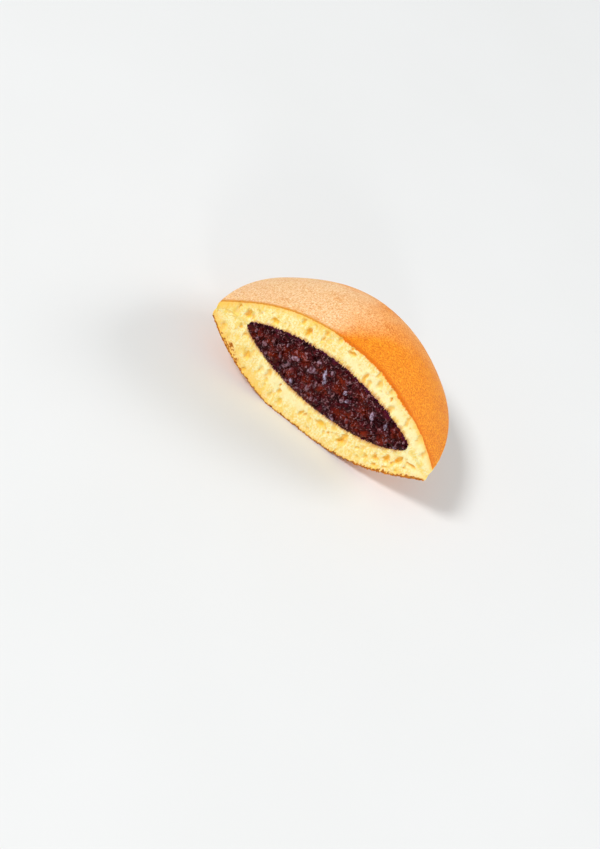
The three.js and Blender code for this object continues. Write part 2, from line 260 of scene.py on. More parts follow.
# Browned skin where it is cut: how thick it is, how much that varies, where it is thicker, and how far back
# over the edge its deep colour reaches.
CRUST_THICKNESS = {TOP: 0.4, BOTTOM: 0.75}
CRUST_UNEVEN = {TOP: (0.55, 1.35), BOTTOM: (0.1, 1.9)}
UNEVEN_SIZE = (0.5, 1.3)
THICK_FROM = {TOP: -8, BOTTOM: 22}
THICK_TO = {TOP: 34, BOTTOM: 60}
THICK_FADE = 7
THICK_MORE = {TOP: 1.05, BOTTOM: 0.5}
EDGE_GLOW = 1.1

# Colours of the crumb: its warm rind under the skin, deeper towards the left end, its palest zones, the
# rind and brown of the rim, the stain of the paste, and how deep a bubble or pore is where its deeper
# yellow is strongest, a yellow that grows with depth and is partly painted shade.
RIND_REACH = {TOP: 1.9, BOTTOM: 2.2}
RIND_END_REACH = 3.0
RIND_END_X = {TOP: -39, BOTTOM: -13}
RIND_END_FADE = 8
FRESH_ZONES = {TOP: [(-3, 60)], BOTTOM: [(-27, 3), (33, 60)]}
FRESH_FADE = 6
FRESH_START = 1.0
FRESH_START_FADE = 1.5
FRESH_END = 9.0
FRESH_END_FADE = 5
WALL_RIND = 0.45
WALL_BROWN = 0.34
WALL_PATCH = 2.2
STAIN_REACH = 3.0
STAIN_SIZE = 1.8
STAIN_SHARE = 0.7
STAIN_CLOSING = 6
DARK_BUBBLE = 0.9
DARK_PORE = 0.5

# Scorched spots in the crumb of the lower pancake, near its skin.
SCORCH_SEED = 175
SCORCH_X = -36.5
SCORCH_WIDTH = 7
SCORCH_DEPTH = 2.2
SCORCH_SIZE = 0.7
SCORCH_LEAN = 0.5
SCORCH_FROM = 0.5
SCORCH_FADE = 0.36
SCORCH_END = 0.1
SCORCH_STRENGTH = 0.8

# Scorched pits near the left end of the upper skin, and its darker patch near the right end: x, y, size and
# strength.
SPOTS = [
    (-45.4, 4.4, 0.6, 0.8), (-44.6, 6.6, 0.5, 0.8), (-44.0, 3.6, 0.4, 0.8), (-45.0, 13.0, 0.6, 0.7),
    (-45.9, 8.6, 0.4, 0.7), (46.0, 9.0, 6.0, 0.45),
]

# Where the upper skin turns from pale to golden: the middle and the width of the change at the cut, how it
# leans and spreads towards the back, and how uneven it is. The pale side is partly uneven browning and
# partly a painted sheen, where the skin faces the key light. Further back and below, the skin is golden in
# patches.
GOLD_X = -6.5
GOLD_LEAN = 0.28
GOLD_WIDTH = 8
GOLD_SPREAD = 1.6
GOLD_PATCH = 0.3
BACK_FROM = 24
BACK_REACH = 22
BACK_GOLD = 0.7
BOTTOM_GOLD = 0.8
PATCH_SEEDS = {TOP: 41, BOTTOM: 43}
PATCH_SIZE = 9
PATCH_DEPTH = 0.5

# Fineness of the meshes, and the edge that is kept free round the UV places.
PASTE_STATIONS = 440
RIM_STATIONS = 46
CUT_STEPS = 44
SKIN_STEPS = 70
SKIN_SPACING = 1.35
WALL_STEPS = 12
SEAM_STEPS = 8
LENS_STEPS = 12
PASTE_CUT_STEPS = 120
SHARP_ANGLE = math.radians(65)
WELD = 1e-4
UV_MARGIN = 0.01

# The camera looks at the cut from above and is turned to the side. Its distance and offset are from the
# middle of the cut, and its focal length is in pixels of a picture of that height.
CAMERA_AZIMUTH = math.radians(5.68)
CAMERA_ELEVATION = math.radians(44.4)
CAMERA_ROLL = math.radians(-34.2)
CAMERA_DISTANCE = 573.257
CAMERA_OFFSET = (7.641, -12.494)
FOCAL_PIXELS = 1600
IMAGE_HEIGHT = 849
SENSOR = 36
NEAREST = 0.01

# Lights, in metres and watts: name, direction, distance, size and power.
LIGHTS = [
    ("key", (-0.5, -0.45, 0.74), 2.7, 0.6, 44),
    ("front", (0.45, -0.85, 0.32), 3.0, 0.4, 13),
    ("back", (0.85, 0.55, 0.7), 3.0, 1.2, 35),
]
LIGHT_AIM = 0.02
SKY_COLOUR = (0.94, 0.97, 1.0, 1.0)
SKY_STRENGTH = 0.5
FLOOR_HALF = 15.0

# Numbers that stir the random sources.
DICE_FACTOR = 1664525
DICE_STEP = 1013904223
DICE_RANGE = 2**32
HASH_U = 374761393
HASH_V = 668265263
HASH_SEED = 144665
HASH_MIX = 1274126177
HASH_SHIFTS = (13, 16)

# Stands in for a length of zero in a division.
TINY = 1e-9


# Small helpers

def put_in_scene(name, data):
    """A new object with that mesh, light or camera."""
    thing = bpy.data.objects.new(name, data)
    SCENE.collection.objects.link(thing)
    return thing


def mix(pair, weight):
    return pair[0] * (1 - weight) + pair[1] * weight


def smooth(value):
    """From 0 to 1, level at both ends."""
    t = np.clip(value, 0, 1)
    return t * t * (3 - 2 * t)


def dice(seed):
    """A repeatable source of random numbers between 0 and 1, the same one that the solids use."""
    state = seed

    def roll():
        nonlocal state
        state = (state * DICE_FACTOR + DICE_STEP) % DICE_RANGE
        return state / DICE_RANGE

    return roll


def lattice(u, v, seed):
    """Smooth random values between 0 and 1, with a lattice of one unit."""
    cell_u = np.floor(u)
    cell_v = np.floor(v)
    near_u = smooth(u - cell_u)
    near_v = smooth(v - cell_v)

    def corner(a, b):
        a = (cell_u + a).astype(np.int64).astype(np.uint64)
        b = (cell_v + b).astype(np.int64).astype(np.uint64)
        mixed = (a * HASH_U + b * HASH_V + seed * HASH_SEED) % DICE_RANGE
        mixed = (mixed ^ (mixed >> HASH_SHIFTS[0])) * HASH_MIX % DICE_RANGE
        return (mixed ^ (mixed >> HASH_SHIFTS[1])).astype(float) / DICE_RANGE

    lower = corner(0, 0) * (1 - near_u) + corner(1, 0) * near_u
    upper = corner(0, 1) * (1 - near_u) + corner(1, 1) * near_u
    return lower * (1 - near_v) + upper * near_v


def fractal(u, v, seed, octaves=3):
    """Lattices of halving size and strength, between 0 and 1."""
    total = sum(lattice(u * 2**i, v * 2**i, seed + i) / 2**i for i in range(octaves))
    return total / sum(1 / 2**i for i in range(octaves))


def warped(x, z, far, size, seeds):
    """The same places, each moved by up to that far."""
    x_seed, z_seed = seeds
    warped_x = x + far * (2 * fractal(x / size, z / size, x_seed, 2) - 1)
    warped_z = z + far * (2 * fractal(x / size, z / size, z_seed, 2) - 1)
    return warped_x, warped_z


# Shapes of the skins, the seam and the lens

def plan_place(x, y):
    """How far out a place is, the same from the crown, and how far to the right and to the back it is."""
    across = (x - MIDDLE_X) / ROUND_WIDTH
    back = (y - CUT_OFFSET) / ROUND_DEPTH
    out = np.minimum(np.hypot(across, back), 1)
    shifted = across + CROWN_SHIFT * (1 - out * out)
    length = np.maximum(np.hypot(shifted, back), TINY)
    return out, np.minimum(length, 1), (1 + shifted / length) / 2, (np.maximum(back, 0) / length) ** 2


def rim_place(x):
    """The rim's place and outward direction for stations along the cut."""
    end_turn = math.asin(CUT_OFFSET / ROUND_DEPTH)
    share = np.arcsin(np.clip((x - MIDDLE_X) / HALF_WIDTH, -1, 1)) / (math.pi / 2)
    angle = math.pi / 2 - (math.pi / 2 + end_turn) * share
    out_x = np.cos(angle)
    out_y = np.sin(angle)
    y = np.where(np.abs(share) >= 1, 0, np.maximum(0, CUT_OFFSET + ROUND_DEPTH * out_y))
    return MIDDLE_X + ROUND_WIDTH * out_x, y, out_x, out_y


def paste_depth_at(x):
    """How far back the lens of paste reaches."""
    return PASTE_DEPTH * np.sqrt(np.maximum(0, 1 - ((x - PASTE_X) / PASTE_HALF) ** 2))


def make_waves():
    roll = dice(WAVE_SEED)
    waves = []
    for _ in range(WAVES):
        turn = roll() * math.pi * 2
        pitch = 2 * math.pi / mix(WAVE_LENGTHS, roll())
        waves.append((math.cos(turn) * pitch, math.sin(turn) * pitch, roll() * math.pi * 2))
    return waves


WAVE_LIST = make_waves()


def waviness(x, y):
    return WAVE_HEIGHT * sum(np.sin(along * x + back * y + phase) for along, back, phase in WAVE_LIST)


def top_skin(x, y):
    _, radius, right, behind = plan_place(x, y)
    fall = radius ** mix((mix(TOP_POWER, right), TOP_BACK_POWER), behind)
    return CROWN - (CROWN - mix(TOP_RIM, right)) * fall + waviness(x, y) * (1 - fall)


def bottom_skin(x, y):
    _, radius, right, behind = plan_place(x, y)
    rise = radius ** mix((mix(BOTTOM_POWER, right), BOTTOM_BACK_POWER), behind)
    belly = BELLY + SETTLE * (1 - np.exp(-np.maximum(y, 0) / SETTLE_REACH))
    height = -belly + (belly + mix(BOTTOM_RIM, right)) * rise - waviness(-x, y) * (1 - rise)
    return np.maximum(height, -UNDERSIDE)


def dimples(x, y, seed):
    """Fine unevenness of a skin, none at the rim."""
    out = plan_place(x, y)[0]
    return DIMPLE_DEPTH * (fractal(x / DIMPLE_SIZE, y / DIMPLE_SIZE, seed) - 0.5) * (1 - out**4)


def paste_chord(x):
    """Height of the line between the tips of the paste."""
    return mix(PASTE_TIPS, (x - PASTE_X + PASTE_HALF) / (2 * PASTE_HALF))


def lens_share(x, y, powers):
    """How thick one side of the lens is, from 0 at its rim to 1."""
    across = (x - PASTE_X) / PASTE_HALF
    back = np.maximum(y, 0) / PASTE_DEPTH
    radius = np.hypot(across, back)
    right = (1 + across / np.maximum(radius, TINY)) / 2
    fullness, bluntness = (mix(pair, right) for pair in powers)
    return np.maximum(0, 1 - np.minimum(radius, 1) ** fullness) ** bluntness


def edge_swell(x, y):
    """How much the paste swells just inside the rim of its lens, which rounds the tips."""
    radius = np.hypot((x - PASTE_X) / PASTE_HALF, np.maximum(y, 0) / PASTE_DEPTH)
    inside = np.maximum(PASTE_HALF * (1 - radius), 0)
    return TIP_SWELL * np.sqrt(np.minimum(inside / TIP_ROUND, 1)) * np.exp(-inside / TIP_REACH)


def seam(x, y):
    out, _, right, _ = plan_place(x, y)
    share = smooth((out - SEAM_FROM) / (1 - SEAM_FROM))
    return paste_chord(x) * (1 - share) + mix(RIM_SEAM, right) * share


def top_lining(x, y):
    return seam(x, y) + PASTE_RISE * lens_share(x, y, RISE_POWERS) + edge_swell(x, y)


def bottom_lining(x, y):
    return seam(x, y) - PASTE_DROP * lens_share(x, y, DROP_POWERS) - edge_swell(x, y)


# Relief of the crumb in the cut

def make_bubbles():
    roll = dice(BUBBLE_SEED)
    bubbles = list(BUBBLES)
    for _ in range(MORE_BUBBLES):
        x = MIDDLE_X + (2 * roll() - 1) * HALF_WIDTH * CRUMB_SHARE
        above = roll() < BUBBLES_ABOVE
        skin = top_skin(x, 0.0) if above else bottom_skin(x, 0.0)
        lining = top_lining(x, 0.0) if above else bottom_lining(x, 0.0)
        z = mix((float(skin), float(lining)), mix(BUBBLE_SPREAD, roll()))
        width = mix(BUBBLE_WIDTH, roll())
        height = width * mix(BUBBLE_STRETCH, roll())
        bubbles.append((x, z, width, height, mix(BUBBLE_DEPTH, roll())))
    return bubbles


def make_pores():
    roll = dice(PORE_SEED)
    pores = []
    for _ in range(PORES):
        x = MIDDLE_X + (2 * roll() - 1) * HALF_WIDTH
        z = mix((-UNDERSIDE, CROWN), roll())
        width = mix(PORE_WIDTH, roll() ** PORE_SMALLNESS)
        height = width * mix(PORE_STRETCH, roll())
        pores.append((x, z, width, height, mix(PORE_DEPTH, roll() ** PORE_SMALLNESS)))
    return pores


def pitted(x, z, pits, edge):
    """How deep the deepest pit is at each place of a grid whose columns share one x."""
    depth = np.zeros_like(z)
    stations = x[:, 0]
    warped_x, warped_z = warped(x, z, PIT_WARP, PIT_WARP_SIZE, PIT_WARP_SEEDS)
    for middle_x, middle_z, width, height, deep in pits:
        reach = width / 2 * edge + PIT_WARP
        first, last = np.searchsorted(stations, (middle_x - reach, middle_x + reach))
        if first < last:
            part = slice(first, last)
            across = (warped_x[part] - middle_x) / (width / 2)
            far = np.hypot(across, (warped_z[part] - middle_z) / (height / 2))
            depth[part] = np.maximum(depth[part], deep * smooth(edge - far))
    return depth


# Relief of the paste in the cut

def make_beans():
    roll = dice(BEAN_SEED)
    beans = []
    tries = 0
    while len(beans) < BEANS and tries < BEAN_TRIES:
        tries += 1
        x = PASTE_X + (2 * roll() - 1) * PASTE_HALF
        share = 2 * roll() - 1
        rise = PASTE_RISE * float(lens_share(x, 0.0, RISE_POWERS))
        drop = PASTE_DROP * float(lens_share(x, 0.0, DROP_POWERS))
        z = paste_chord(x) + (share * (rise - SMOOTH_BAND) if share > 0 else share * drop)
        clear = all(math.hypot(bean[0] - x, bean[1] - z) > BEAN_SPACING for bean in beans)
        if clear and rise > SMOOTH_BAND and drop > SMOOTH_BAND:
            long = mix(BEAN_LENGTH, roll()) / 2
            slim = long * mix(BEAN_SLIMNESS, roll())
            turn = roll() * math.pi
            beans.append((x, z, long, slim, turn, BEAN_SWELL, mix(BEAN_SINK, roll())))
    return beans


def make_pieces():
    roll = dice(PIECE_SEED)
    pieces = []
    for _ in range(PIECES):
        x = PASTE_X + (2 * roll() - 1) * PASTE_HALF
        z = mix((-PASTE_DROP, PASTE_RISE), roll()) + paste_chord(x)
        long = mix(PIECE_LENGTH, roll() ** PIECE_SMALLNESS) / 2
        slim = long * mix(PIECE_SLIMNESS, roll())
        turn = roll() * math.pi
        swell = mix(PIECE_SWELL, roll())
        pieces.append((x, z, long, slim, turn, swell, mix(PIECE_SINK, roll())))
    return pieces


def make_skins():
    return [
        (x, z, long / 2, wide / 2, math.radians(turn), SKIN_SWELL, SKIN_SINK)
        for x, z, long, wide, turn, _, _ in SKINS
    ]


def lumpy(x, z, lumps):
    """The highest lump at each place: height, number, how high up on it, and how far above the next."""
    height = np.full_like(z, -PASTE_SUNK)
    under = np.full_like(z, -2 * PASTE_SUNK)
    owner = np.zeros(z.shape, int)
    share = np.zeros_like(z)
    stations = x[:, 0]
    warped_x, warped_z = warped(x, z, WARP, WARP_SIZE, WARP_SEEDS)
    for number, (middle_x, middle_z, long, slim, turn, swell, sink) in enumerate(lumps, 1):
        reach = long + WARP
        first, last = np.searchsorted(stations, (middle_x - reach, middle_x + reach))
        if first == last:
            continue
        part = slice(first, last)
        dx = warped_x[part] - middle_x
        dz = warped_z[part] - middle_z
        along = (dx * math.cos(turn) + dz * math.sin(turn)) / long
        across = (dz * math.cos(turn) - dx * math.sin(turn)) / slim
        round_share = np.maximum(0, 1 - along**2 - across**2) ** BEAN_ROUNDNESS
        lump = swell * round_share - sink
        higher = (lump > height[part]) & (round_share > 0)
        covered = np.where(higher, height[part], np.where(round_share > 0, lump, under[part]))
        under[part] = np.maximum(under[part], covered)
        height[part] = np.where(higher, lump, height[part])
        owner[part] = np.where(higher, number, owner[part])
        share[part] = np.where(higher, round_share, share[part])
    return height, owner, share, height - under


# Meshes from rings of points

def cosine_run(start, end, count):
    """Stations from start to end, closer together near both."""
    t = np.linspace(0, 1, count + 1)
    return start + (end - start) * (1 - np.cos(math.pi * t)) / 2


PASTE_RUN = cosine_run(PASTE_X - PASTE_HALF, PASTE_X + PASTE_HALF, PASTE_STATIONS)
PANCAKE_RUN = np.concatenate([
    cosine_run(MIDDLE_X - HALF_WIDTH, PASTE_RUN[0], RIM_STATIONS)[:-1],
    PASTE_RUN,
    cosine_run(PASTE_RUN[-1], MIDDLE_X + HALF_WIDTH, RIM_STATIONS)[1:],
])

pancake_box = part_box(BOTTOM)
CUT_MIDDLE = np.array([
    (pancake_box[0].x + pancake_box[1].x) / 2 / MM - MIDDLE_X,
    pancake_box[0].y / MM,
    pancake_box[0].z / MM + UNDERSIDE,
])


def ring_faces(stations, around):
    """Triangles of the band between neighbouring rings, with numbers into a stations by around table."""
    number = np.arange(stations * around).reshape(stations, around)
    a = number[:-1]
    b = number[1:]
    c = np.roll(b, -1, axis=1)
    d = np.roll(a, -1, axis=1)
    first = np.stack([a, b, c], axis=-1).reshape(-1, 3)
    second = np.stack([a, c, d], axis=-1).reshape(-1, 3)
    return np.concatenate([first, second])


def zip_rows(row_a, row_b, turned):
    """Triangles between two rows of numbers that start and end at the same places."""
    faces = []
    a = 0
    b = 0
    while a + 1 < len(row_a) or b + 1 < len(row_b):
        step_a = (1 - (a + 1) / len(row_a)) > (1 - (b + 1) / len(row_b))
        third = row_a[a + 1] if step_a else row_b[b + 1]
        faces.append((row_a[a], third, row_b[b]) if turned else (row_a[a], row_b[b], third))
        a += 1 if step_a else 0
        b += 0 if step_a else 1
    return np.array(faces)


def join_rows(rows):
    """Rings of points from rows that each share their last point with the next."""
    return np.concatenate([row[:, :-1] for row in rows], axis=1)


def mark_rows(rows, *values):
    """One value for each point of the rings, from a number or a grid for each row."""
    return join_rows([value + 0 * row[..., 0] for row, value in zip(rows, values)])


def build_piece(name, rings, faces, marks, flipped=False):
    """A closed mesh: places that coincide become one vertex, and faces without area go."""
    points = rings.reshape(-1, 3)
    charts = unroll(rings)
    keys = np.round(points / WELD).astype(np.int64)
    _, first, where = np.unique(keys, axis=0, return_index=True, return_inverse=True)
    where = where.reshape(-1)
    welded = where[faces]
    solid = (welded != np.roll(welded, 1, axis=1)).all(axis=1)
    welded = welded[solid]
    corners = faces[solid]
    if flipped:
        welded = welded[:, ::-1]
        corners = corners[:, ::-1]
    mesh = bpy.data.meshes.new(name)
    places = (points[first] + CUT_MIDDLE) * MM
    mesh.from_pydata(places.tolist(), [], welded.tolist())
    for mark, values in marks.items():
        layer = mesh.attributes.new(mark, "FLOAT", "POINT")
        layer.data.foreach_set("value", values.reshape(-1)[first].astype(np.float32))
    unwrapped = mesh.uv_layers.new(name="OFBake")
    unwrapped.data.foreach_set("uv", charts[corners.reshape(-1)].astype(np.float32).reshape(-1))
    mesh.shade_smooth()
    mesh.set_sharp_from_angle(angle=SHARP_ANGLE)
    mesh.validate()
    return put_in_scene(name, mesh)


# The pancakes

def straight_run(count):
    """Even steps from 0 to 1, as one row."""
    return np.linspace(0, 1, count + 1)[None, :]


def make_pancake(name, skin, lining):
    """A pancake from rings of points: along the skin, the rim, the seam and the lens, and over the cut."""
    seed = PANCAKE_SEEDS[name]
    side = 1 if name == TOP else -1
    x = PANCAKE_RUN[:, None]
    rim_x, rim_y, out_x, out_y = (part[:, None] for part in rim_place(PANCAKE_RUN))
    lens_y = paste_depth_at(x)

    # The knife leaves the edges of the cut ragged, less so towards the ends, where the sections close.
    room = smooth(rim_y / CLOSING)
    slope = np.gradient(skin(x, 0 * x)[:, 0], PANCAKE_RUN)[:, None]
    torn = CLEAN_SHARE + (1 - CLEAN_SHARE) * smooth((x - CLEAN_TO) / CLEAN_FADE)
    torn = torn / (1 + (slope / STEEP) ** 2)
    stray = np.abs(fractal(x / FRAY_SIZE, x * 0, seed, 2) - 0.5)
    skin_fray = side * EDGE_FRAY[name] * (2 * stray - FRAY_GIVE) * room * torn
    recess = EDGE_RECESS[name] * fractal(x / FRAY_SIZE, x * 0 + RECESS_ROW, seed + 4, 2) * room
    stray = np.abs(fractal(x / LINING_FRAY_SIZE, x * 0 + LINING_ROW, seed + 8, 2) - 0.5)
    lining_fray = side * LINING_FRAY * (2 * stray - LINING_GIVE) * smooth(lens_y / LINING_CLOSING)

    def frayed_skin(at_x, at_y):
        height = skin(at_x, at_y) + side * dimples(at_x, at_y, seed + 2)
        return np.maximum(height - skin_fray * np.exp(-at_y / FRAY_REACH), -UNDERSIDE)

    def frayed_lining(at_x, at_y):
        return lining(at_x, at_y) - lining_fray * np.exp(-at_y / FRAY_REACH)

    out = np.sin(straight_run(SKIN_STEPS) ** SKIN_SPACING * math.pi / 2)
    skin_x = x + (rim_x - x) * out
    skin_y = recess + (rim_y - recess) * out
    skin_z = frayed_skin(skin_x, skin_y)
    skin_row = np.stack([skin_x, skin_y, skin_z], axis=-1)

    down = straight_run(WALL_STEPS)
    tuck = RIM_TUCK * smooth(rim_y / TUCK_FROM)
    ripple_place = rim_x / RIPPLE_SIZE[0] + down * RIM_TURN
    ripple = 1 + fractal(ripple_place, rim_y / RIPPLE_SIZE[1], seed + 12) - 0.5
    wall_out = RIM_BULGE * np.sin(down * math.pi) * ripple - tuck * down**3
    wall_out[:, -1:] = -tuck
    wall_x = rim_x + out_x * wall_out
    wall_y = np.maximum(0, rim_y + out_y * wall_out)
    wall_z = skin_z[:, -1:] + (lining(rim_x, rim_y) - skin_z[:, -1:]) * down
    wall_row = np.stack([wall_x, wall_y, wall_z], axis=-1)

    inward = straight_run(SEAM_STEPS)
    seam_x = wall_x[:, -1:] + (x - wall_x[:, -1:]) * inward
    seam_y = wall_y[:, -1:] + (lens_y - wall_y[:, -1:]) * inward
    seam_row = np.stack([seam_x, seam_y, frayed_lining(seam_x, seam_y)], axis=-1)
    seam_row[:, 0] = wall_row[:, -1]

    lens_row_y = lens_y * np.cos(straight_run(LENS_STEPS) * math.pi / 2)
    lens_row_y[:, -1] = 0
    lens_row_x = x + 0 * lens_row_y
    lens_row = np.stack([lens_row_x, lens_row_y, frayed_lining(lens_row_x, lens_row_y)], axis=-1)

    up = straight_run(CUT_STEPS)
    low = lens_row[:, -1:, 2]
    tall = skin_z[:, :1] - low
    cut_z = low + tall * up
    cut_x = x + 0 * up
    below_skin = np.abs(tall) * (1 - up) / np.sqrt(1 + slope**2)
    off_lining = np.abs(tall) * up
    bubble = pitted(cut_x, cut_z, BUBBLE_LIST, BUBBLE_EDGE)
    pore = pitted(cut_x, cut_z, PORE_LIST, PORE_EDGE)
    foam = FOAM_DEPTH * fractal(cut_x / FOAM_SIZE[0], cut_z / FOAM_SIZE[1], seed + 16, 3)
    border = smooth(below_skin / CUT_BORDER) * smooth(off_lining / CUT_BORDER) * room
    cut_y = (bubble + pore + foam) * border + recess * np.exp(-below_skin / RECESS_REACH)
    cut_y[:, 0] = 0
    cut_y[:, -1:] = recess
    cut_row = np.stack([cut_x, np.minimum(cut_y, rim_y * DEPTH_LIMIT), cut_z], axis=-1)

    rows = [skin_row, wall_row, seam_row, lens_row, cut_row]
    points = join_rows(rows)

    near_paste = smooth(lens_y / STAIN_CLOSING)
    cut_line, stain, rind, fresh = crumb_marks(name, cut_x, cut_z, below_skin, off_lining)
    # Deeper yellow in the bubbles and pores, the more the deeper they are: partly painted shade.
    pit_shade = np.minimum(1, bubble / DARK_BUBBLE + pore / DARK_PORE) * border
    wander = WALL_BROWN * fractal(rim_x / WALL_PATCH, rim_y / WALL_PATCH + down * RIM_TURN, seed + 24)
    wall_brown = 1 - smooth(down / wander - 0.5)
    marks = {
        "brown": mark_rows(rows, 1, wall_brown, 0, 0, cut_line),
        "line": mark_rows(rows, np.exp(-skin_y / EDGE_GLOW), 0, 0, 0, cut_line),
        "pit_shade": mark_rows(rows, 0, 0, 0, 0, pit_shade),
        "stain": mark_rows(rows, 0, 0, 0, near_paste, stain * near_paste),
        "rind": mark_rows(rows, 1, WALL_RIND, 0, 0, rind),
        "fresh": mark_rows(rows, 0, 0, 0, 0, fresh),
        "spot": spotted(points) * (name == TOP),
        # Low where the skin is pale, which on the upper skin is partly a painted sheen.
        "gold_and_sheen": golden_and_sheen(name, points[..., 0], points[..., 1]),
    }

    around = points.shape[1]
    last = (len(PANCAKE_RUN) - 1) * around
    wall_numbers = np.arange(SKIN_STEPS, SKIN_STEPS + WALL_STEPS + 1)
    cut_numbers = np.append(np.arange(around - CUT_STEPS, around), 0)[::-1]
    left_cap = zip_rows(cut_numbers, wall_numbers, False)
    right_cap = zip_rows(cut_numbers + last, wall_numbers + last, True)
    faces = np.concatenate([ring_faces(len(PANCAKE_RUN), around), left_cap, right_cap])
    return build_piece(name + "_baked", points, faces, marks, name == BOTTOM)


def crumb_marks(name, x, z, below_skin, off_lining):
    """Marks of the crumb: the cut skin's brown line, the paste's stain, the rind and the palest zones."""
    seed = PANCAKE_SEEDS[name]
    thicker = smooth((x - THICK_FROM[name]) / THICK_FADE) * smooth((THICK_TO[name] - x) / THICK_FADE)
    thick = CRUST_THICKNESS[name] + THICK_MORE[name] * thicker
    uneven = fractal(x / UNEVEN_SIZE[0], z / UNEVEN_SIZE[1], seed + 20, 2)
    thick = thick * mix(CRUST_UNEVEN[name], uneven)
    line = 1 - smooth((below_skin - thick * 0.5) / thick)
    if name == BOTTOM:
        line = np.maximum(line, scorched(x, z, below_skin))

    stain_reach = STAIN_REACH * fractal(x / STAIN_SIZE, z * 0, seed + 28)
    stain = STAIN_SHARE * smooth(1 - off_lining / stain_reach)
    rind_reach = RIND_REACH[name] + RIND_END_REACH * smooth((RIND_END_X[name] - x) / RIND_END_FADE)
    rind = np.exp(-below_skin / rind_reach)

    fresh = 0
    for start, end in FRESH_ZONES[name]:
        fresh = fresh + smooth((x - start) / FRESH_FADE) * smooth((end - x) / FRESH_FADE)
    fresh = fresh * smooth((off_lining - FRESH_START) / FRESH_START_FADE)
    fresh = fresh * smooth((FRESH_END - off_lining) / FRESH_END_FADE)
    return line, stain, rind, fresh


def golden_and_sheen(name, x, y):
    """How golden the skin is at each place; on the upper skin its paler side is partly painted sheen."""
    patches = fractal(x / PATCH_SIZE, y / PATCH_SIZE, PATCH_SEEDS[name]) - 0.5
    if name == BOTTOM:
        return np.clip(BOTTOM_GOLD + PATCH_DEPTH * patches, 0, 1)
    from_middle = (x - GOLD_X - GOLD_LEAN * y) / (GOLD_WIDTH + GOLD_SPREAD * y)
    front = smooth(from_middle + 0.5 + GOLD_PATCH * patches)
    back_share = smooth((y - BACK_FROM) / BACK_REACH + patches)
    return front * (1 - back_share) + (BACK_GOLD + PATCH_DEPTH * patches) * back_share


def spotted(points):
    """How scorched the upper skin is at each place."""
    dark = 0
    for x, y, size, strength in SPOTS:
        away = points - np.array([x, y, top_skin(x, y)])
        dark = dark + strength * np.exp(-(away**2).sum(axis=-1) / size**2)
    return dark


def scorched(x, z, below_skin):
    """How scorched the crumb of the lower pancake is at each place."""
    near = np.exp(-(((x - SCORCH_X) / SCORCH_WIDTH) ** 2) - below_skin / SCORCH_DEPTH)
    spots = fractal(x / SCORCH_SIZE, z / SCORCH_SIZE, SCORCH_SEED, 2) + SCORCH_LEAN * near
    return SCORCH_STRENGTH * smooth((spots - SCORCH_FROM) / SCORCH_FADE) * smooth(near / SCORCH_END - 1)


def unroll(points):
    """UV places: stations to the right, the way round each ring upwards, spaced as on the middle ring."""
    closed = np.concatenate([points, points[:, :1]], axis=1)
    lengths = np.linalg.norm(np.diff(closed, axis=1), axis=2)
    middle = lengths[len(points) // 2]
    up = np.concatenate([[0], np.cumsum(middle)[:-1]]) / middle.sum()
    right = np.linspace(UV_MARGIN, 1 - UV_MARGIN, len(points))
    up = UV_MARGIN + (1 - 2 * UV_MARGIN) * up
    grid = np.stack(np.meshgrid(right, up, indexing="ij"), axis=-1)
    return grid.reshape(-1, 2)


# The paste

